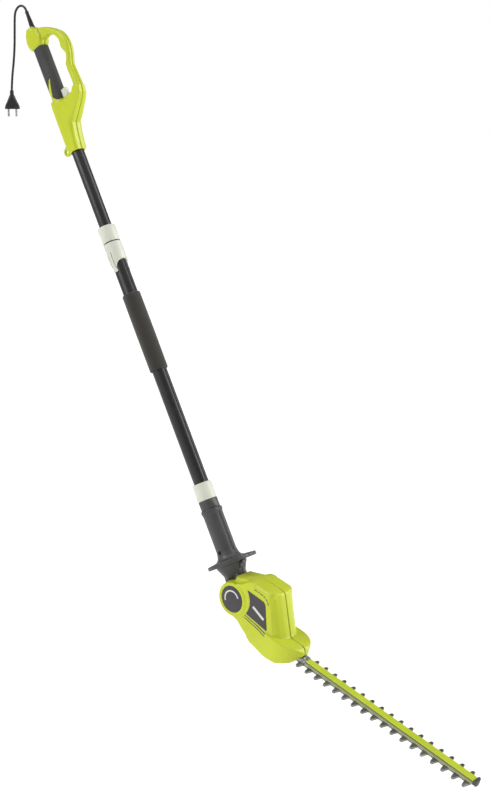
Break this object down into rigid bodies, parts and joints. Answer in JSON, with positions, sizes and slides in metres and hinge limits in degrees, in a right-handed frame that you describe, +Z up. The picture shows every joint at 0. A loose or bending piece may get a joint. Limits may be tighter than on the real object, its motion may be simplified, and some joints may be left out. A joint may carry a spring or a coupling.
{
  "type": "telescopic pole hedge trimmer",
  "caption": "Corded pole hedge trimmer with a telescoping tube, D-shaped rear handle, foam front grip, tilting motor head and a long double-sided reciprocating blade.",
  "frame": {"origin": "centre of the foam front grip, on the pole's axis", "axes": "+Z up, +X level towards the blade's end, +Y to the tool's right side; the pole leans back 28.2 degrees from +Z and the blade dips 16.8 degrees below +X"},
  "size_m": [1.4057, 0.116, 1.5676],
  "materials": {
    "lime_plastic": "satin moulded lime plastic",
    "soft_grip": "matt overmoulded grip",
    "charcoal_plastic": "fine matt grain",
    "black_tube": "black coated tube, satin gloss",
    "pale_plastic": "warm pale grey plastic",
    "foam": "closed-cell foam",
    "black_rubber": "matt black",
    "nylon": "natural nylon",
    "steel": "ground steel",
    "bright_metal": "bright nickel",
    "cast_alloy": "die cast",
    "copper": "enamelled windings",
    "carbon": "carbon block",
    "lime_rail": "lime coated extrusion"
  },
  "bodies": {
    "lower_pole": {"outer_tube": "black_tube", "foam_grip": "foam", "collar_body": "pale_plastic", "collet": "nylon", "threaded_socket": "charcoal_plastic", "neck_shell_left": "charcoal_plastic", "neck_shell_right": "charcoal_plastic", "neck_screw": "steel", "coiled_inner_cable": "black_rubber"},
    "lock_ring": {"lock_ring": "pale_plastic"},
    "coupling_nut": {"coupling_nut": "pale_plastic"},
    "rear_handle": {"inner_tube": "black_tube", "inner_tube_bush": "nylon", "handle_shell_left": "lime_plastic", "handle_shell_right": "lime_plastic", "grip_skin_left": "soft_grip", "grip_skin_right": "soft_grip", "switch_block": "black_rubber", "strain_relief": "black_rubber", "supply_cord": "black_rubber", "plug_body": "black_rubber", "plug_pin_left": "bright_metal", "plug_pin_right": "bright_metal", "handle_screw_1": "steel", "handle_screw_2": "steel", "handle_screw_3": "steel"},
    "trigger": {"trigger": "pale_plastic", "switch_plunger": "nylon"},
    "lock_off_button": {"lock_off_button": "soft_grip"},
    "tilt_release_button": {"tilt_release_button": "charcoal_plastic"},
    "head": {"head_shell_left": "lime_plastic", "head_shell_right": "lime_plastic", "pivot_cap_left": "charcoal_plastic", "pivot_cap_right": "charcoal_plastic", "pivot_bolt": "steel", "side_panel_left": "charcoal_plastic", "side_panel_right": "charcoal_plastic", "head_screw_1": "steel", "head_screw_2": "steel", "head_screw_3": "steel", "motor_stator": "steel", "motor_bearing_upper": "bright_metal", "motor_bearing_lower": "bright_metal", "carbon_brush_left": "carbon", "carbon_brush_right": "carbon", "gear_pin": "bright_metal", "gear_case": "cast_alloy", "gear_cover": "cast_alloy", "guide_rail": "lime_rail", "blade_bracket": "cast_alloy", "tip_guard": "charcoal_plastic", "rail_screw_1": "steel", "rail_screw_2": "steel", "rail_screw_3": "steel"},
    "rotor": {"motor_armature": "copper", "cooling_fan": "nylon", "motor_pinion": "steel"},
    "drive": {"drive_gear": "steel"},
    "upper_blade": {"upper_blade": "steel"},
    "lower_blade": {"lower_blade": "steel"}
  },
  "joints": [
    {"name": "telescope", "type": "slide", "parent": "lower_pole", "child": "rear_handle", "axis": [-0.4726, 0, 0.8813], "range_m": [-0.185, 0.33]},
    {"name": "lock_ring_twist", "type": "hinge", "parent": "lower_pole", "child": "lock_ring", "pos_m": [-0.11672, 0, 0.21768], "axis": [-0.4726, 0, 0.8813], "range_deg": [0, 90]},
    {"name": "coupling_nut_turn", "type": "hinge", "parent": "lower_pole", "child": "coupling_nut", "pos_m": [0.18713, 0, -0.349], "axis": [-0.4726, 0, 0.8813], "range_deg": [0, 270]},
    {"name": "trigger_press", "type": "slide", "parent": "rear_handle", "child": "trigger", "axis": [-0.8813, 0, -0.4726], "range_m": [0, 0.005], "stiffness_N_per_m": 400, "springref_m": -0.002},
    {"name": "lock_off_press", "type": "slide", "parent": "rear_handle", "child": "lock_off_button", "axis": [0.8813, 0, 0.4726], "range_m": [0, 0.0022], "stiffness_N_per_m": 300, "springref_m": -0.001},
    {"name": "tilt_release_press", "type": "slide", "parent": "lower_pole", "child": "tilt_release_button", "axis": [-0.8813, 0, -0.4726], "range_m": [0, 0.003], "stiffness_N_per_m": 500, "springref_m": -0.002},
    {"name": "head_tilt", "type": "hinge", "parent": "lower_pole", "child": "head", "pos_m": [0.30479, 0, -0.56844], "axis": [0, 1, 0], "range_deg": [0, 90]},
    {"name": "rotor_spin", "type": "hinge", "parent": "head", "child": "rotor", "pos_m": [0.38521, 0, -0.59272], "axis": [0.289, 0, 0.9573], "continuous": true},
    {"name": "gear_spin", "type": "hinge", "parent": "head", "child": "drive", "pos_m": [0.39854, 0, -0.63853], "axis": [0.289, 0, 0.9573], "continuous": true},
    {"name": "upper_blade_slide", "type": "slide", "parent": "head", "child": "upper_blade", "axis": [0.9573, 0, -0.289], "range_m": [-0.0065, 0.0065]},
    {"name": "lower_blade_slide", "type": "slide", "parent": "head", "child": "lower_blade", "axis": [0.9573, 0, -0.289], "range_m": [-0.0065, 0.0065]}
  ],
  "couplings": [
    {"joint": "gear_spin", "follows": "rotor_spin", "ratio": -0.33333},
    {"joint": "lower_blade_slide", "follows": "upper_blade_slide", "ratio": -1}
  ]
}
